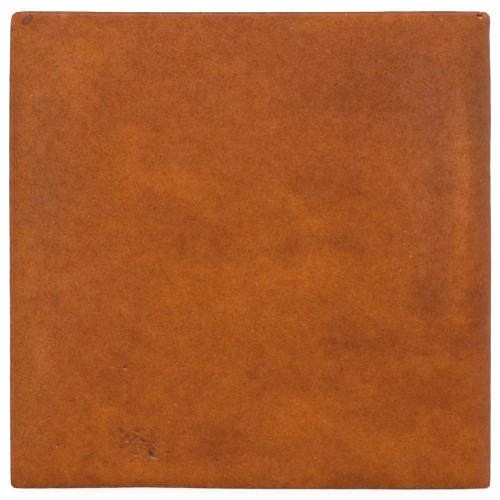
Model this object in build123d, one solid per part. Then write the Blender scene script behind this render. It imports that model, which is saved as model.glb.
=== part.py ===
from build123d import *
import os

# A handmade bullnose wall tile of fired clay. Millimetres, +Z out of the face.
# It lies on its back: +X runs across the tile to the rounded edge.

# Sizes
face_width = 304.8          # left side to rounded edge, at the widest
face_height = 302.4         # bottom side to top side, at the tallest
thickness = 16.0
upright_foot = 2.0          # what is left upright below the rounded edge
eased_edge = 3.0            # soft edge round the other three sides of the face
left_corner_radius = 3.6
back_arris = 0.8            # worn edge round the back

# The hand-cut outline is a little out of true
left_bow = 0.9              # the left side swells out in the middle
top_hollow = 0.5            # the top side is hollow in the middle
bottom_left_lift = 0.6      # the bottom side climbs to the left corner

bullnose_radius = thickness - upright_foot
half_width = face_width / 2
half_height = face_height / 2

# Corners of the outline
left = -half_width + left_bow
right = half_width
top = half_height
bottom = -half_height
top_left = (left, top)
top_right = (right, top)
bottom_right = (right, bottom)
bottom_left = (left, bottom + bottom_left_lift)

# Middles of the two bowed sides
left_middle = (-half_width, 0)
top_middle = (0, half_height - top_hollow)

# Slab
with BuildPart() as tile:
    with BuildSketch():
        with BuildLine():
            ThreePointArc(bottom_left, left_middle, top_left)
            ThreePointArc(top_left, top_middle, top_right)
            Line(top_right, bottom_right)
            Line(bottom_right, bottom_left)
        make_face()
        left_corners = vertices().sort_by(Axis.X)[:2]
        fillet(left_corners, left_corner_radius)
    extrude(amount=thickness)

    # Rounded edge
    face_edges = tile.edges().filter_by_position(Axis.Z, thickness - 0.01, thickness + 0.01)
    right_edge = face_edges.sort_by(Axis.X)[-1]
    fillet(right_edge, bullnose_radius)

    # Soft edge, which also runs down both ends of the rounded edge
    above_back = tile.edges().filter_by_position(Axis.Z, 0.01, thickness + 0.01)
    soft_edges = []
    for edge in above_back:
        middle = edge.center()
        along_rounded_edge = middle.X > half_width / 2 and edge.length > half_height
        on_left_corner = middle.X < -half_width / 2 and abs(middle.Z - thickness / 2) < 1
        if not along_rounded_edge and not on_left_corner:
            soft_edges.append(edge)
    fillet(soft_edges, eased_edge)

    # Back
    back_edges = tile.faces().sort_by(Axis.Z)[0].edges()
    fillet(back_edges, back_arris)

# The origin is the middle of the back
box = tile.part.bounding_box()
middle = box.center()
finished_tile = Pos(-middle.X, -middle.Y, -box.min.Z) * tile.part
finished_tile.label = "bullnose_tile"

os.makedirs("parts", exist_ok=True)
export_step(finished_tile, "parts/bullnose_tile.step")
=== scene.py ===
import math

import bmesh
import bpy
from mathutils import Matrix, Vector, noise


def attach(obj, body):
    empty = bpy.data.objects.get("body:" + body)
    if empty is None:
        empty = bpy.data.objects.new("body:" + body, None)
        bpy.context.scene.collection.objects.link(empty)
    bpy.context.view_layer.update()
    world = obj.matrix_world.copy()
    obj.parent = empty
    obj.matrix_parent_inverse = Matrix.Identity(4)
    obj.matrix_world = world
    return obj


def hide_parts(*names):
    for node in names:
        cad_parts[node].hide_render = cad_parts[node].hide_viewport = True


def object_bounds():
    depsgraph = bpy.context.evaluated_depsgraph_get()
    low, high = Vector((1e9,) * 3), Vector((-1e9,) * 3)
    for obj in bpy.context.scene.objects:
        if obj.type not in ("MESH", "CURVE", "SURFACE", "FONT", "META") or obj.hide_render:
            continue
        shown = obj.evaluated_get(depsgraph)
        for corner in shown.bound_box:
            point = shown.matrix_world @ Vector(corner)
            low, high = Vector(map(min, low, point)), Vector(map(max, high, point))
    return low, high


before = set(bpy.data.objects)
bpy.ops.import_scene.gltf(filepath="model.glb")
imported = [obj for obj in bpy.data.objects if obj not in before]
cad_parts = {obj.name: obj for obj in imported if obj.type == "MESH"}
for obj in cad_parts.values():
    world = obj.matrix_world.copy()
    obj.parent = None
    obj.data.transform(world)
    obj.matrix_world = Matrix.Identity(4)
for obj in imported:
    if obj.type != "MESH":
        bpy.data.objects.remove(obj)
cad_low, cad_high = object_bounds()

# The scene is written in millimetres and made in metres.
MM = 0.001
TILE = "bullnose_tile"

# Sizes of the tile, as in the part's source
THICKNESS = 16.0
BULLNOSE_RADIUS = 14.0
EASED_EDGE = 3.0
LEFT_CORNER_RADIUS = 3.6
BACK_ARRIS = 0.8
HALF_WIDTH = (cad_high.x - cad_low.x) / 2 / MM
HALF_HEIGHT = (cad_high.y - cad_low.y) / 2 / MM

# How far each hand-cut side falls inside the box, as (place along the side, depth)
LEFT_SIDE = [(-151, 1.1), (-138, 0.75), (-105, 0.6), (-50, 0.5), (-5, 0.3), (40, 0.05),
             (75, 0.05), (105, 0.25), (134, 0.65), (151, 1.2)]
RIGHT_SIDE = [(-151, 0.7), (-140, 0.35), (-60, 0.2), (-15, 0.05), (10, 0.05), (35, 0.35), (55, 0.45),
              (85, 0.2), (105, 0.3), (122, 0.65), (136, 1.0), (147, 0.5), (151, 0.5)]
TOP_SIDE = [(-151, 0.3), (-140, 0.05), (-126, 0.15), (-85, 0.45), (-55, 0.6), (45, 0.5),
            (76, 0.35), (95, 0.1), (125, 0.0), (142, 0.2), (151, 0.4)]
BOTTOM_SIDE = [(-151, 1.0), (-142, 0.65), (-120, 0.8), (-92, 1.1), (-66, 1.35), (-45, 1.1), (-28, 0.75),
               (-5, 0.45), (38, 0.3), (80, 0.2), (104, 0.05), (133, 0.25), (151, 0.6)]


def between(points, place):
    """The value at a place, eased from one point to the next."""
    if place <= points[0][0]:
        return points[0][1]
    for (start, low), (end, high) in zip(points, points[1:]):
        if place <= end:
            share = (place - start) / (end - start)
            return low + (high - low) * share * share * (3 - 2 * share)
    return points[-1][1]


def fade(distance, reach):
    """1 at no distance, easing to 0 at the reach."""
    share = min(max(1 - distance / reach, 0), 1)
    return share * share * (3 - 2 * share)


# A block, divided into rows that lie closer together near its edges, and into levels above the back
END_ROWS = 6
MIDDLE_ROWS = 228
ROWS = MIDDLE_ROWS + 2 * END_ROWS
LEVELS = [0, 0.25, 0.55, 0.8, 2, 3.5, 5.5, 7.5, 9.5, 11.5, 13, 14, 15, 16]


def row_place(share, half_size):
    """Where a row lies: the first and last few share the width of the soft edge."""
    row = round(share * ROWS)
    inner = half_size - EASED_EDGE
    if row <= END_ROWS:
        return -half_size + EASED_EDGE * row / END_ROWS
    if row >= ROWS - END_ROWS:
        return half_size - EASED_EDGE * (ROWS - row) / END_ROWS
    return -inner + 2 * inner * (row - END_ROWS) / MIDDLE_ROWS


def divide(mesh, axis, cuts):
    """Cuts the edges of a cube of size 1 that run along one axis."""
    edges = [edge for edge in mesh.edges if abs((edge.verts[0].co - edge.verts[1].co)[axis]) > 0.9]
    bmesh.ops.subdivide_edges(mesh, edges=edges, cuts=cuts, use_grid_fill=True)


tile = bmesh.new()
bmesh.ops.create_cube(tile, size=1)
divide(tile, 0, ROWS - 1)
divide(tile, 1, ROWS - 1)
divide(tile, 2, len(LEVELS) - 2)
back = [face for face in tile.faces if face.calc_center_median().z < -0.499]
bmesh.ops.dissolve_faces(tile, faces=back)
for vert in tile.verts:
    level = round((vert.co.z + 0.5) * (len(LEVELS) - 1))
    vert.co = (row_place(vert.co.x + 0.5, HALF_WIDTH), row_place(vert.co.y + 0.5, HALF_HEIGHT), LEVELS[level])


# Small marks in the face: place, half length, half width, turn in degrees, depth (below 0 stands up)
MARK_MARGIN = 1.5
HOLLOWS = {
    "oval scar": (-140.6, 145.7, 4.6, 2.0, 41, 0.3),
    "corner chip": (145.1, 148.3, 2.2, 1.5, -10, 1.3),
    "chip's ridge": (148.6, 149.3, 2.2, 1.1, 10, -0.25),
    "nick in the top edge": (-117.4, 149.6, 2.2, 1.6, 0, 0.3),
    "nick in the rounded edge": (151.0, 40.1, 1.0, 1.4, 0, 0.4),
    "round pit": (-79.1, -74.0, 1.9, 1.6, 0, 0.9),
    "small pit": (-121.6, -123.1, 1.5, 1.3, 45, 0.7),
    "deep pit": (-62.7, -128.6, 3.0, 3.4, 20, 1.2),
    "ridge beside the deep pit": (-70.0, -130.2, 4.4, 1.7, -8, -0.35),
    "short dash": (-51.6, -127.5, 1.9, 0.6, 0, 0.4),
    "long dash": (-75.0, -132.9, 2.1, 0.7, 12, 0.4),
    "pitted ground, upper": (-81.5, -114.5, 3.2, 2.4, 40, 0.35),
    "pitted ground, middle": (-77.5, -119.5, 3.0, 2.0, 20, 0.45),
    "pitted ground, lower": (-80.5, -124.5, 3.4, 1.8, -25, 0.4),
}


def mark_share(x, y, mark):
    """How far out of a mark a point lies: 0 at its middle, 1 at its rim."""
    middle_x, middle_y, half_length, half_width, turn = mark[:5]
    angle = math.radians(turn)
    along = (x - middle_x) * math.cos(angle) + (y - middle_y) * math.sin(angle)
    across = (y - middle_y) * math.cos(angle) - (x - middle_x) * math.sin(angle)
    return math.hypot(along / half_length, across / half_width)


def near_a_mark(face):
    """Whether a part of the top level lies on or beside a small mark."""
    middle = face.calc_center_median()
    if middle.z < THICKNESS - 0.01:
        return False
    return any(math.hypot(middle.x - mark[0], middle.y - mark[1]) < mark[2] + MARK_MARGIN
               for mark in HOLLOWS.values())


marked = [face for face in tile.faces if near_a_mark(face)]
bmesh.ops.subdivide_edges(tile, edges=list({edge for face in marked for edge in face.edges}), cuts=2,
                          use_grid_fill=True)


def rolled(depth, other_depth, radius):
    """Moves a point near a square edge onto its rounding. Depths are measured in from the two faces."""
    if depth >= radius or other_depth >= radius:
        return depth, other_depth
    out, other_out = radius - depth, radius - other_depth
    pull = max(out, other_out) / math.hypot(out, other_out)
    return radius - out * pull, radius - other_out * pull


def side_at(x, y):
    """Depth in from the left, top or bottom side, and the way out."""
    corner = Vector((-HALF_WIDTH + LEFT_CORNER_RADIUS, math.copysign(HALF_HEIGHT - LEFT_CORNER_RADIUS, y), 0))
    if x < corner.x and abs(y) > abs(corner.y):
        out = Vector((x, y, 0)) - corner
        return LEFT_CORNER_RADIUS - out.length, out.normalized()
    if x + HALF_WIDTH < HALF_HEIGHT - abs(y):
        return x + HALF_WIDTH, Vector((-1, 0, 0))
    return HALF_HEIGHT - abs(y), Vector((0, math.copysign(1, y), 0))


def face_at(x, z):
    """Depth in from the face and its rounded edge, and the way out."""
    centre_x, centre_z = HALF_WIDTH - BULLNOSE_RADIUS, THICKNESS - BULLNOSE_RADIUS
    if x <= centre_x:
        return THICKNESS - z, Vector((0, 0, 1))
    if z <= centre_z:
        return HALF_WIDTH - x, Vector((1, 0, 0))
    out = Vector((x - centre_x, 0, z - centre_z))
    return BULLNOSE_RADIUS - out.length, out.normalized()


# Low waves in the face: size, layer of the noise, depth
WAVES = [(60, 3, 0.28), (17, 8, 0.07)]

# How deep the face sags at its sides, and how far in
BOTTOM_SAG, BOTTOM_SAG_REACH = 0.45, 11
LEFT_SAG, LEFT_SAG_REACH = 0.3, 9
TOP_SAG, TOP_SAG_REACH = 0.15, 6
TOP_NOTCHES, TOP_NOTCH_SIZE, TOP_NOTCH_REACH = 0.35, 8, 5
LEAST_DEPTH = 0.02


def relief(x, y):
    """How far the worn, hand-pressed face lies below a true one."""
    depth = LEAST_DEPTH
    for size, layer, wave_depth in WAVES:
        depth += wave_depth * (0.5 + 0.5 * noise.noise((x / size, y / size, layer)))
    depth += BOTTOM_SAG * fade(y + HALF_HEIGHT, BOTTOM_SAG_REACH)
    depth += LEFT_SAG * fade(x + HALF_WIDTH, LEFT_SAG_REACH)
    depth += TOP_SAG * fade(HALF_HEIGHT - y, TOP_SAG_REACH)
    notches = TOP_NOTCHES * (0.5 + noise.noise((x / TOP_NOTCH_SIZE, 2, 5)))
    depth += notches * fade(HALF_HEIGHT - y, TOP_NOTCH_REACH)
    for mark in HOLLOWS.values():
        depth += mark[5] * fade(mark_share(x, y, mark), 1)
    return max(depth, LEAST_DEPTH)


def shaped(x, y, z):
    """A point of the block, moved onto the tile."""
    if x < 0:
        depth, end_depth = rolled(x + HALF_WIDTH, HALF_HEIGHT - abs(y), LEFT_CORNER_RADIUS)
        x, y = depth - HALF_WIDTH, math.copysign(HALF_HEIGHT - end_depth, y)
    else:
        depth, drop = rolled(HALF_WIDTH - x, THICKNESS - z, BULLNOSE_RADIUS)
        x, z = HALF_WIDTH - depth, THICKNESS - drop
    place = Vector((x, y, z))
    side_depth, side_out = side_at(x, y)
    face_depth, face_out = face_at(x, z)
    new_side, new_face = rolled(side_depth, face_depth, EASED_EDGE)
    place += side_out * (side_depth - new_side) + face_out * (face_depth - new_face)
    if z < BACK_ARRIS:
        if HALF_WIDTH - x < side_depth:
            side_depth, side_out = HALF_WIDTH - x, Vector((1, 0, 0))
        new_side, new_z = rolled(side_depth, z, BACK_ARRIS)
        place += side_out * (side_depth - new_side) + Vector((0, 0, new_z - z))
    elif face_depth < EASED_EDGE:
        place -= face_out * relief(x, y) * fade(face_depth, EASED_EDGE)
    return place


# How much the sides ripple, how far in their wander reaches, and how the two top corners are worn
RIPPLE, RIPPLE_WIDTH, RIPPLE_HEIGHT = 0.12, 7, 9
WANDER_REACH = 30
RIGHT_CORNER_CHIP, RIGHT_CORNER_REACH = 0.6, 6
LEFT_CORNER_WEAR, LEFT_CORNER_REACH = 0.5, 9


def waved(place):
    """Lets the sides wander and ripple, always inwards."""
    ripple = RIPPLE * (1 + noise.noise((place.x / RIPPLE_WIDTH, place.y / RIPPLE_WIDTH, place.z / RIPPLE_HEIGHT)))
    from_left, from_right = HALF_WIDTH + place.x, HALF_WIDTH - place.x
    from_bottom, from_top = HALF_HEIGHT + place.y, HALF_HEIGHT - place.y
    left = (between(LEFT_SIDE, place.y) + ripple) * fade(from_left, WANDER_REACH)
    right = (between(RIGHT_SIDE, place.y) + ripple) * fade(from_right, WANDER_REACH)
    top = (between(TOP_SIDE, place.x) + ripple) * fade(from_top, WANDER_REACH)
    bottom = (between(BOTTOM_SIDE, place.x) + ripple) * fade(from_bottom, WANDER_REACH)
    chipped = RIGHT_CORNER_CHIP * fade(math.hypot(from_right, from_top), RIGHT_CORNER_REACH)
    worn = LEFT_CORNER_WEAR * fade(math.hypot(from_left, from_top), LEFT_CORNER_REACH)
    return place + Vector((left + worn - right - chipped, bottom - top - chipped - worn, 0))


for vert in tile.verts:
    vert.co = waved(shaped(*vert.co)) * MM

# The flat of the back lies inside its worn arris. Only the back has more than 8 corners.
FLAT_INSET = 0.7 * BACK_ARRIS
outer_back = [face for face in tile.faces if len(face.verts) > 8]
inner_back = bmesh.ops.extrude_discrete_faces(tile, faces=outer_back)["faces"]
for vert in {vert for face in inner_back for vert in face.verts}:
    vert.co.x *= 1 - FLAT_INSET / HALF_WIDTH
    vert.co.y *= 1 - FLAT_INSET / HALF_HEIGHT
    vert.co.z = 0
bmesh.ops.remove_doubles(tile, verts=tile.verts, dist=0.01 * MM)
bmesh.ops.recalc_face_normals(tile, faces=tile.faces)
for face in tile.faces:
    face.smooth = len(face.verts) <= 8
tile_mesh = bpy.data.meshes.new("fired_tile")
tile.to_mesh(tile_mesh)
tile.free()
fired_tile = bpy.data.objects.new("fired_tile", tile_mesh)
bpy.context.scene.collection.objects.link(fired_tile)
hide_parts(TILE)
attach(fired_tile, "root")


# Material nodes
NOISE_GAIN = 5.0
SEED_STEP = Vector((37.0, 91.0, 53.0))


class Signal:
    """A socket that can be used in sums."""

    def __init__(self, maker, socket):
        self.maker = maker
        self.socket = socket

    def maths(self, operation, *values):
        inputs = dict(enumerate(values))
        return self.maker.node("ShaderNodeMath", {"operation": operation}, inputs)

    def __add__(self, other):
        return self.maths("ADD", self, other)

    def __radd__(self, other):
        return self.maths("ADD", other, self)

    def __sub__(self, other):
        return self.maths("SUBTRACT", self, other)

    def __rsub__(self, other):
        return self.maths("SUBTRACT", other, self)

    def __mul__(self, other):
        return self.maths("MULTIPLY", self, other)

    def __rmul__(self, other):
        return self.maths("MULTIPLY", other, self)


class Maker:
    """Adds nodes to one material or world."""

    def __init__(self, tree):
        self.tree = tree

    def node(self, kind, settings, inputs, output=0):
        made = self.tree.nodes.new(kind)
        for name, value in settings.items():
            setattr(made, name, value)
        for name, value in inputs.items():
            socket = self.find(made.inputs, name)
            if isinstance(value, Signal):
                self.tree.links.new(value.socket, socket)
            else:
                socket.default_value = value
        return Signal(self, self.find(made.outputs, output))

    def find(self, sockets, name):
        if isinstance(name, int):
            return sockets[name]
        named = [socket for socket in sockets if name in (socket.identifier, socket.name)]
        return named[0]

    def surface(self, kind, shader):
        self.tree.links.new(shader.socket, self.tree.nodes.new(kind).inputs["Surface"])

    def ease(self, value, low, high, start=0.0, end=1.0):
        """Runs from start to end while the value runs from low to high."""
        return self.node("ShaderNodeMapRange", {"interpolation_type": "SMOOTHSTEP"},
                         {"Value": value, "From Min": low, "From Max": high, "To Min": start, "To Max": end})

    def mix(self, first, second, share):
        return self.node("ShaderNodeMix", {"data_type": "RGBA"},
                         {"Factor_Float": share, "A_Color": first, "B_Color": second}, "Result_Color")

    def vector(self, operation, **inputs):
        return self.node("ShaderNodeVectorMath", {"operation": operation},
                         {int(name[1:]) if name[0] == "v" else name: value for name, value in inputs.items()})

    def cloud(self, place, size, detail=2.0, seed=0.0, rough=0.5):
        """Soft noise of about -1 to 1, with forms of the given size."""
        moved = self.vector("ADD", v0=place, v1=seed * SEED_STEP)
        grain = self.node("ShaderNodeTexNoise", {},
                          {"Vector": moved, "Scale": 1 / size, "Detail": detail, "Roughness": rough}, "Fac")
        return (grain - 0.5) * NOISE_GAIN

    def patch(self, place, x, y, half_length, half_width, turn, strength):
        """A soft oval of the given strength at its middle."""
        inside = self.node("ShaderNodeMapping", {"vector_type": "TEXTURE"},
                           {"Vector": place, "Location": (x, y, 0),
                            "Rotation": (0, 0, math.radians(turn)), "Scale": (half_length, half_width, 1)})
        oval = self.node("ShaderNodeTexGradient", {"gradient_type": "SPHERICAL"}, {"Vector": inside}, "Fac")
        return self.ease(oval, 0.0, 1.0, 0.0, strength)

    def patches(self, base, place, ovals, spread=1.0):
        """Adds the soft ovals of a list, made larger by the spread."""
        for x, y, half_length, half_width, turn, strength in ovals:
            base = base + self.patch(place, x, y, spread * half_length, spread * half_width, turn, strength)
        return base

    def drift(self, place, size, detail):
        """A vector that wanders round nought."""
        wander = self.node("ShaderNodeTexNoise", {},
                           {"Vector": place, "Scale": 1 / size, "Detail": detail}, "Color")
        return self.vector("SUBTRACT", v0=wander, v1=(0.5, 0.5, 0.5))

    def brushed(self, place, turn, stretch):
        """Places of a pattern that is turned, and stretched in its own first direction."""
        return self.node("ShaderNodeMapping", {"vector_type": "TEXTURE"},
                         {"Vector": place, "Rotation": (0, 0, math.radians(turn)), "Scale": (stretch, 1.0, 1.0)})

    def coordinate(self, place, axis):
        return self.node("ShaderNodeSeparateXYZ", {}, {"Vector": place}, axis)


def maker_for(owner):
    """Empties a material or world and returns its maker."""
    owner.use_nodes = True
    owner.node_tree.nodes.clear()
    return Maker(owner.node_tree)


def paint(red, green, blue):
    """A colour as it is seen on a screen, 0 to 255, made linear."""
    levels = [level / 255 for level in (red, green, blue)]
    return tuple(level / 12.92 if level <= 0.04045 else ((level + 0.055) / 1.055) ** 2.4
                 for level in levels) + (1.0,)


# Colours of the fired clay, as seen on a screen
CLAY_DARK = paint(139, 62, 8)
CLAY_PALE = paint(192, 95, 12)
# Painted sheen: the milky haze of light reflected from the seal
PALE_SHEEN_PAINT = paint(161, 109, 84)
# Painted sheen, duller and greenish
GREENISH_SHEEN_PAINT = paint(141, 106, 53)
RAW_CLAY = paint(178, 98, 58)
# Also painted shade: on the edges, in the crack of the chip, and in pits and hollows
SOOT_AND_SHADE = paint(92, 42, 18)
# Also painted highlight, on the lit walls of pits
PALE_DUST_AND_HIGHLIGHT = paint(204, 150, 112)
# Also painted highlight, on the lit wall of the round pit
CHIP_PINK_AND_HIGHLIGHT = paint(188, 108, 76)
CHIP_GREY = paint(200, 178, 160)
SCAR_BROWN = paint(142, 82, 60)
# Painted shade and painted highlight for the lumps of the rough ground
LUMP_SHADE_PAINT = paint(78, 36, 4)
LUMP_HIGHLIGHT_PAINT = paint(218, 118, 22)
RAW_CLAY_PALE = paint(196, 126, 84)

# Where the firing left the face darker (below 0) or lighter: x, y, half length, half width, turn, strength
TONES = [
    (-37, 11, 36, 15, -28, -0.75), (50, 41, 32, 15, -8, -0.65), (22, 2, 18, 9, 0, -0.6),
    (64, 2, 15, 12, 0, -0.45), (63, -60, 40, 21, 0, -0.55), (111, -91, 31, 14, 5, -0.65),
    (-19, -123, 21, 16, 0, -0.6), (-87, -74, 31, 26, 0, -0.25), (-70, -120, 18, 9, -36, -0.8),
    (-32, 97, 11, 8, 0, -0.4), (-62, 116, 19, 8, 0, -0.4), (4, -72, 8, 17, 0, -0.4),
    (83, 105, 58, 38, 0, -0.8), (52, 2, 26, 8, 0, -0.4), (-125, 91, 8, 12, 0, -0.4),
    (-125, 38, 11, 24, 0, -0.3),
    (114, -28, 14, 13, 0, -0.5), (133, -58, 27, 11, 0, -0.6), (142, -36, 9, 13, 0, -0.8),
    (-111, 113, 34, 18, 45, 0.65), (-138, 73, 8, 13, 0, 0.3), (-139, -12, 9, 26, 0, 0.5),
    (-133, -66, 10, 30, 0, 0.5), (30, -18, 40, 17, 0, 0.6), (33, -106, 28, 15, 0, 0.7),
    (-91, -107, 15, 12, 0, 0.5), (-65, -136, 15, 8, 0, 0.6), (87, -126, 28, 8, 0, 0.4),
    (39, 19, 15, 6, 0, 0.5), (99, -19, 4, 16, 0, 0.4), (-12, 116, 8, 7, 0, 0.4),
    (121, 129, 11, 11, 0, 0.5), (70, 146, 50, 6, 0, 0.4), (-48, 41, 22, 13, 0, 0.4),
    (-76, 56, 9, 32, 0, 0.4), (-116, -28, 7, 9, 0, 0.4), (-15, -15, 95, 80, 0, 0.32),
]

# Straighter bands along the sides, written the same way: painted shade where the soft edges and the rounded edge
# turn away from the light, and along the top side to dim what the top lamp lights there
SHADE_BANDS = [
    (117, 30, 8, 85, 0, -0.6), (147, 38, 6, 100, 0, -0.5), (148, -85, 5, 60, 0, -0.2),
    (-150, 76, 5, 55, 0, -0.8), (-150, -60, 3, 80, 0, -0.4),
    (-105, -147, 58, 7, 0, -0.7), (70, -147, 32, 8, 0, -0.85), (130, -148, 30, 6, 0, -0.5),
    (0, -150, 60, 5, 0, -0.5), (0, 151, 150, 3, 0, -0.5), (142, 100, 12, 45, 0, -0.7),
]

# Where a sheen of reflected light is painted as a milky haze on the seal, written the same way
PALE_SHEEN_PATCHES = [
    (-135, 45, 44, 190, 0, 0.08), (-100, -20, 60, 110, 0, 0.05), (118, 62, 44, 150, 0, 0.15),
    (160, 40, 50, 190, 0, 0.04), (20, 170, 330, 190, 0, 0.12),
]

# Where the painted sheen looks dull and greenish, mostly over the side margins, written the same way
GREENISH_SHEEN_PATCHES = [
    (-140, 60, 60, 150, 0, 0.12), (-150, -110, 40, 70, 0, 0.12), (-105, 125, 60, 40, 0, 0.08),
    (150, 90, 40, 90, 0, 0.1), (-140, -60, 36, 80, 0, 0.1),
]

# Small coloured marks, some of them painted shade and painted highlight: x, y, half length, half width, turn,
# colour, strength
SMALL_MARKS = [
    # Oval scar: a dark oval set a little low, painted shadow along the scar's lower side, under a brown one
    (-140.6, 145.4, 5.4, 2.7, 41, SOOT_AND_SHADE, 1.0),
    (-140.4, 145.8, 4.3, 1.5, 41, SCAR_BROWN, 1.0),
    (-117.4, 148.6, 3.4, 3.2, 0, CHIP_PINK_AND_HIGHLIGHT, 0.5),
    (-117.4, 150.4, 2.2, 0.8, 0, PALE_DUST_AND_HIGHLIGHT, 0.45),
    (141.0, 149.6, 7.0, 0.9, -8, CHIP_PINK_AND_HIGHLIGHT, 0.6),
    # Painted shade in the crack of the corner chip
    (144.6, 148.2, 2.4, 1.2, -15, SOOT_AND_SHADE, 0.8),
    (145.8, 150.2, 1.2, 0.9, 0, CHIP_GREY, 0.9),
    (145.4, 146.7, 2.0, 0.7, 0, CHIP_GREY, 0.8),
    (148.2, 148.0, 2.4, 1.2, -45, CHIP_PINK_AND_HIGHLIGHT, 0.9),
    # Pits: painted shade on the wall nearer the light and painted highlight on the far wall
    (-79.1, -73.3, 1.7, 0.9, 0, SOOT_AND_SHADE, 0.9),
    (-79.1, -75.2, 1.5, 0.7, 0, CHIP_PINK_AND_HIGHLIGHT, 0.8),
    (-121.1, -122.6, 1.4, 0.8, 45, SOOT_AND_SHADE, 0.9),
    (-122.1, -123.7, 1.2, 0.6, 45, PALE_DUST_AND_HIGHLIGHT, 0.7),
    (-62.7, -128.2, 2.6, 1.6, -40, SOOT_AND_SHADE, 0.8),
    (-60.4, -131.4, 3.4, 0.9, -12, PALE_DUST_AND_HIGHLIGHT, 0.5),
    (-70.0, -130.2, 4.4, 1.0, -8, CHIP_PINK_AND_HIGHLIGHT, 0.4),
    # Painted shade in the dashes and in the hollows of the pitted ground
    (-51.6, -127.5, 1.9, 0.6, 0, SOOT_AND_SHADE, 0.9),
    (-75.0, -132.9, 2.0, 0.6, 12, SOOT_AND_SHADE, 0.8),
    (-81.5, -114.5, 2.6, 1.2, 40, SOOT_AND_SHADE, 0.4),
    (-78.0, -117.5, 1.6, 0.9, -20, SOOT_AND_SHADE, 0.45),
    (-81.0, -120.5, 2.2, 0.8, 15, SOOT_AND_SHADE, 0.4),
    (-76.0, -121.5, 1.3, 1.0, 0, SOOT_AND_SHADE, 0.45),
    (-80.5, -124.5, 2.4, 0.9, -25, SOOT_AND_SHADE, 0.4),
    (-74.1, -121.2, 0.7, 0.6, 0, PALE_DUST_AND_HIGHLIGHT, 0.8),
    (-70.9, -118.6, 0.7, 0.6, 0, PALE_DUST_AND_HIGHLIGHT, 0.8),
    (-54.5, -121.8, 0.7, 0.6, 0, PALE_DUST_AND_HIGHLIGHT, 0.8),
    (-51.3, -108.5, 0.7, 0.6, 0, PALE_DUST_AND_HIGHLIGHT, 0.8),
    (-58.3, -123.1, 0.7, 0.6, 0, PALE_DUST_AND_HIGHLIGHT, 0.8),
    (86.0, -6.7, 0.9, 0.6, 0, PALE_DUST_AND_HIGHLIGHT, 0.8),
    (91.0, -5.4, 1.0, 0.5, 20, PALE_DUST_AND_HIGHLIGHT, 0.8),
    (101.2, -3.5, 0.9, 0.5, 0, PALE_DUST_AND_HIGHLIGHT, 0.8),
    (77.7, -11.7, 0.8, 0.6, 0, PALE_DUST_AND_HIGHLIGHT, 0.7),
    (97.4, 11.7, 0.8, 0.6, 0, PALE_DUST_AND_HIGHLIGHT, 0.7),
    (94.8, -12.4, 0.8, 0.6, 0, PALE_DUST_AND_HIGHLIGHT, 0.7),
    (-118.4, 75.6, 0.8, 0.6, 0, PALE_DUST_AND_HIGHLIGHT, 0.7),
    (-138.0, 97.7, 0.8, 0.6, 0, PALE_DUST_AND_HIGHLIGHT, 0.7),
    (25.9, 140.1, 0.8, 0.6, 0, PALE_DUST_AND_HIGHLIGHT, 0.7),
    (4.4, -20.9, 0.9, 0.6, 0, PALE_DUST_AND_HIGHLIGHT, 0.7),
    (-133.5, 83.2, 0.8, 0.7, 0, SOOT_AND_SHADE, 0.7),
    (13.5, 146.4, 0.8, 0.7, 0, SOOT_AND_SHADE, 0.7),
    (-131.0, 17.6, 0.9, 0.7, 0, SOOT_AND_SHADE, 0.6),
    (-135.4, -40.5, 0.8, 0.7, 0, SOOT_AND_SHADE, 0.6),
    (-58.9, 124.3, 3.5, 1.2, -15, SOOT_AND_SHADE, 0.3),
    (-48.1, 120.5, 3.0, 1.2, -15, SOOT_AND_SHADE, 0.3),
    (-34.2, 119.9, 3.0, 1.0, 0, SOOT_AND_SHADE, 0.25),
    (95.5, -108.5, 2.0, 1.0, 0, SOOT_AND_SHADE, 0.35),
    (99.3, -110.4, 2.0, 1.0, 0, SOOT_AND_SHADE, 0.3),
    (-84.4, 144.5, 4.6, 0.6, 0, SOOT_AND_SHADE, 0.35),
    (-141.0, -115.5, 3.4, 0.4, 68, PALE_DUST_AND_HIGHLIGHT, 0.4),
    (-144.2, -114.6, 2.6, 0.4, 75, PALE_DUST_AND_HIGHLIGHT, 0.35),
    (-137.6, -117.4, 3.0, 0.4, 110, PALE_DUST_AND_HIGHLIGHT, 0.3),
    (-133.8, -118.6, 2.4, 0.4, 35, PALE_DUST_AND_HIGHLIGHT, 0.3),
]

# The soft ovals above are written as large as they look, which is less than their full spread.
TONE_SPREAD = 1.5
MARK_SPREAD = 1.25

clay = bpy.data.materials.new("sealed_fired_clay")
maker = maker_for(clay)

# Places on the tile, in millimetres, some of them pushed about so that patches get ragged outlines
place = maker.vector("SCALE", v0=maker.node("ShaderNodeTexCoord", {}, {}, "Object"), Scale=1 / MM)
across = maker.coordinate(place, "X")
along = maker.coordinate(place, "Y")
height = maker.coordinate(place, "Z")
plan = maker.vector("MULTIPLY", v0=place, v1=(1.0, 1.0, 0.0))
drift = maker.drift(place, 16, 3.0)
fine_drift = maker.drift(place, 1.6, 2.0)
drifted_place = maker.vector("MULTIPLY_ADD", v0=drift, v1=(22.0, 22.0, 0.0), v2=plan)
steady_place = maker.vector("MULTIPLY_ADD", v0=drift, v1=(5.0, 22.0, 0.0), v2=plan)
wavering_place = maker.vector("MULTIPLY_ADD", v0=drift, v1=(11.0, 22.0, 0.0), v2=plan)
nudged_place = maker.vector("MULTIPLY_ADD", v0=fine_drift, v1=(2.4, 2.4, 0.0), v2=plan)

# A painted highlight: the pale streak along the start of the rounded edge, standing for the lamps' reflection in
# the sealed face
highlight_oval = maker.patch(wavering_place, 133.0, 36, 8.5, 112, 0, 2.0)
highlight_streak = maker.ease(highlight_oval, 0.3, 1.7)

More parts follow.
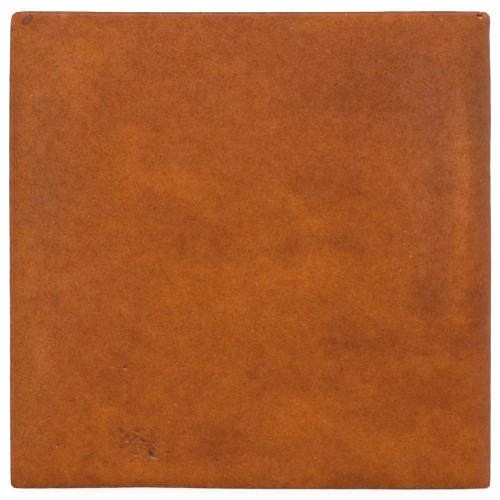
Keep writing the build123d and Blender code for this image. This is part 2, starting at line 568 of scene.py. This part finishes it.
# Firing tones: broad clouds, smaller clouds smeared towards the lower right, and the patches, with the bands of
# painted shade and the streak of painted highlight added in
TONE_RANGE = 1.7
smeared = maker.brushed(maker.vector("MULTIPLY_ADD", v0=drift, v1=(16.0, 16.0, 16.0), v2=place), -22, 2.1)
tone_and_painted_light = maker.cloud(place, 42, 2.0, 1.0) * 0.12 + maker.cloud(smeared, 9, 6.0, 2.0, 0.65) * 0.42
tone_and_painted_light = maker.patches(tone_and_painted_light, drifted_place, TONES, TONE_SPREAD)
tone_and_painted_light = maker.patches(tone_and_painted_light, steady_place, SHADE_BANDS, TONE_SPREAD) + highlight_streak * 0.8
colour = maker.mix(CLAY_DARK, CLAY_PALE, maker.ease(tone_and_painted_light, -TONE_RANGE, TONE_RANGE))

# Painted sheen: a milky haze where the seal reflects the light, and duller, greenish parts of it
pale_sheen = maker.patches(maker.cloud(place, 30, 2.0, 5.0) * 0.012 + highlight_streak * 0.09, plan, PALE_SHEEN_PATCHES)
colour = maker.mix(colour, PALE_SHEEN_PAINT, pale_sheen)
greenish_sheen = maker.patches(maker.cloud(place, 24, 2.0, 15.0) * 0.015, plan, GREENISH_SHEEN_PATCHES)
colour = maker.mix(colour, GREENISH_SHEEN_PAINT, greenish_sheen)

# Grain: fine sand, brushed lightly from upper left to lower right. It shows least in red, the strongest part.
GRAIN_GAIN = (0.057, 0.12, 0.52)
brushed = maker.brushed(place, -40, 1.35)
sand = maker.cloud(brushed, 1.25, 3.0, 3.0, 0.65)
mottle = maker.cloud(place, 5.0, 2.0, 4.0)
grit = maker.cloud(place, 0.75, 1.0, 11.0)
grain = sand * 2.0 + mottle * 1.0 + grit * 1.9
three_grains = maker.node("ShaderNodeCombineXYZ", {}, {"X": grain, "Y": grain, "Z": grain})
grainy = maker.vector("MULTIPLY_ADD", v0=three_grains, v1=GRAIN_GAIN, v2=(1.0, 1.0, 1.0))
colour = maker.vector("MULTIPLY", v0=colour, v1=grainy)


def specks(size, radius, share, seed):
    """Specks of the given radius: a share of the cells of a pattern hold one each."""
    moved = maker.vector("ADD", v0=nudged_place, v1=(seed * 11.0, seed * 7.0, 0.0))
    cells = {"Vector": moved, "Scale": 1 / size}
    distance = maker.node("ShaderNodeTexVoronoi", {}, cells, "Distance")
    cell = maker.node("ShaderNodeTexVoronoi", {}, cells, "Color")
    chosen = maker.node("ShaderNodeSeparateColor", {}, {"Color": cell}, "Red")
    dot = maker.ease(distance, radius / size, 0.4 * radius / size)
    return dot * maker.ease(chosen, 1 - share, 1 - 0.8 * share)


pinholes = specks(5.5, 0.9, 0.3, 1.0)
pale_specks = specks(8.0, 0.8, 0.22, 2.0)
colour = maker.mix(colour, SOOT_AND_SHADE, pinholes * 0.45)
colour = maker.mix(colour, PALE_DUST_AND_HIGHLIGHT, pale_specks * 0.4)

# Rough ground round the deep pit, with painted shade and painted highlight: each lump is painted pale on one side
# and dark on the other, as if lit from one side
rough_ground = maker.patch(drifted_place, -70, -120, 34, 19, -36, 1.7)
beside = maker.vector("ADD", v0=brushed, v1=(-0.5, 0.9, 0.0))
lumps = maker.cloud(brushed, 2.3, 4.0, 12.0, 0.65)
lump_shading = (lumps - maker.cloud(beside, 2.3, 4.0, 12.0, 0.65)) * rough_ground
colour = maker.mix(colour, LUMP_SHADE_PAINT, maker.ease(lump_shading, -0.15, -1.7, 0.0, 0.75))
colour = maker.mix(colour, LUMP_HIGHLIGHT_PAINT, maker.ease(lump_shading, 0.2, 1.5, 0.0, 0.6))

# Small marks, among them painted shade and painted highlight in and round pits and hollows
for x, y, half_length, half_width, turn, mark_colour, strength in SMALL_MARKS:
    mark = maker.patch(nudged_place, x, y, MARK_SPREAD * half_length, MARK_SPREAD * half_width, turn, 2.0)
    colour = maker.mix(colour, mark_colour, maker.ease(mark, 0.15, 1.3, 0.0, strength))

# Painted shade where the edges turn away from the light: a thin dark line round the face, lower on the rounded
# edge, and weaker along the top side
ragged_height = height + maker.cloud(place, 2.5, 2.0, 13.0) * 0.7 + maker.ease(across, 134.0, 142.0, 0.0, 9.5)
rim = maker.ease(ragged_height, 15.1, 13.5) * maker.ease(along, 146.0, 149.5, 0.8, 0.5)
colour = maker.mix(colour, SOOT_AND_SHADE, rim)
# Painted shade along the top side, darkening the slope of the soft edge there, which the top lamp lights
ragged_top = along + maker.cloud(place, 4.0, 2.0, 14.0) * 0.5
colour = maker.mix(colour, SOOT_AND_SHADE, maker.ease(ragged_top, 147.6, 150.4, 0.0, 0.4))

# Bare clay on the back and low on the sides, where the seal stopped
edge_of_seal = height + maker.cloud(place, 6, 3.0, 7.0) * 1.1
bare = maker.ease(edge_of_seal, 4.5, 2.2)
raw = maker.mix(RAW_CLAY, RAW_CLAY_PALE, maker.ease(maker.cloud(place, 9, 4.0, 8.0), -1.5, 1.5))
raw = maker.mix(maker.vector("MULTIPLY", v0=raw, v1=grainy), SOOT_AND_SHADE, pinholes * 0.5)
colour = maker.mix(colour, raw, bare)

# Polish and relief
polish = 0.46 + sand * 0.03 + maker.cloud(place, 14, 2.0, 9.0) * 0.04 - highlight_streak * 0.06
roughness = polish + bare * 0.42
lift = sand * 0.025 + mottle * 0.05 + lumps * rough_ground * 0.12 - pinholes * 0.16
lift = lift + maker.cloud(place, 3.0, 3.0, 6.0) * bare * 0.08
normal = maker.node("ShaderNodeBump", {}, {"Strength": 1.0, "Distance": MM, "Height": lift}, "Normal")
maker.surface("ShaderNodeOutputMaterial", maker.node("ShaderNodeBsdfPrincipled", {}, {
    "Base Color": colour, "Roughness": roughness, "Normal": normal, "Specular IOR Level": 0.25}))
fired_tile.data.materials.append(clay)

# Floor: matt and pale, with a glow that only the camera sees
FLOOR_WIDTH = 30
FLOOR_PAINT = (0.86, 0.86, 0.86, 1)
FLOOR_GLOW = 0.62
WHITE = (1, 1, 1, 1)
bpy.ops.mesh.primitive_plane_add(size=FLOOR_WIDTH)
floor = bpy.context.object
floor.name = "floor"
floor_paint = bpy.data.materials.new("white_floor")
floor_maker = maker_for(floor_paint)
matt = floor_maker.node("ShaderNodeBsdfDiffuse", {}, {"Color": FLOOR_PAINT})
glow = floor_maker.node("ShaderNodeEmission", {}, {"Color": WHITE, "Strength": FLOOR_GLOW})
both = floor_maker.node("ShaderNodeAddShader", {}, {0: matt, 1: glow})
seen = floor_maker.node("ShaderNodeLightPath", {}, {}, "Is Camera Ray")
floor_maker.surface("ShaderNodeOutputMaterial",
                    floor_maker.node("ShaderNodeMixShader", {}, {0: seen, 1: matt, 2: both}))
floor.data.materials.append(floor_paint)

# Soft studio light: a dim ceiling and brighter walls, white where the camera sees them
CEILING, WALLS = 0.25, 1.05
world = bpy.data.worlds.new("studio")
bpy.context.scene.world = world
sky_maker = maker_for(world)
up = sky_maker.coordinate(sky_maker.node("ShaderNodeTexCoord", {}, {}, "Generated"), "Z")
walls = sky_maker.ease(up, 0.95, 0.35, CEILING, WALLS)
seen_directly = sky_maker.node("ShaderNodeLightPath", {}, {}, "Is Camera Ray")
strength = walls + seen_directly * (1.0 - walls)
sky_maker.surface("ShaderNodeOutputWorld",
                  sky_maker.node("ShaderNodeBackground", {}, {"Color": WHITE, "Strength": strength}))


def lamp(name, place, size, watts):
    """A square lamp that faces the tile. Its place and size are in metres."""
    light = bpy.data.lights.new(name, "AREA")
    light.shape = "SQUARE"
    light.size = size
    light.energy = watts
    lamp_object = bpy.data.objects.new(name, light)
    lamp_object.location = place
    lamp_object.rotation_euler = (-Vector(place)).to_track_quat("-Z", "Y").to_euler()
    bpy.context.scene.collection.objects.link(lamp_object)


lamp("top_lamp", place=(0.1, 1.5, 1.2), size=1.0, watts=18)
lamp("left_lamp", place=(-1.5, 0.3, 1.0), size=0.8, watts=5)

# Camera, straight above the tile, far off so that the sides don't show, and a hair off its middle
LENS = 1200
SENSOR = 36
SEEN_WIDTH = 315.4 * MM
OFF_MIDDLE = 0.2 * MM
FAR_CLIP = 100
camera_data = bpy.data.cameras.new("camera")
camera_data.lens = LENS
camera_data.sensor_width = SENSOR
camera_data.clip_end = FAR_CLIP
camera = bpy.data.objects.new("camera", camera_data)
camera.location = (-OFF_MIDDLE, OFF_MIDDLE, THICKNESS * MM + SEEN_WIDTH * LENS / SENSOR)
bpy.context.scene.collection.objects.link(camera)
bpy.context.scene.camera = camera
bpy.context.scene.view_settings.view_transform = "Standard"
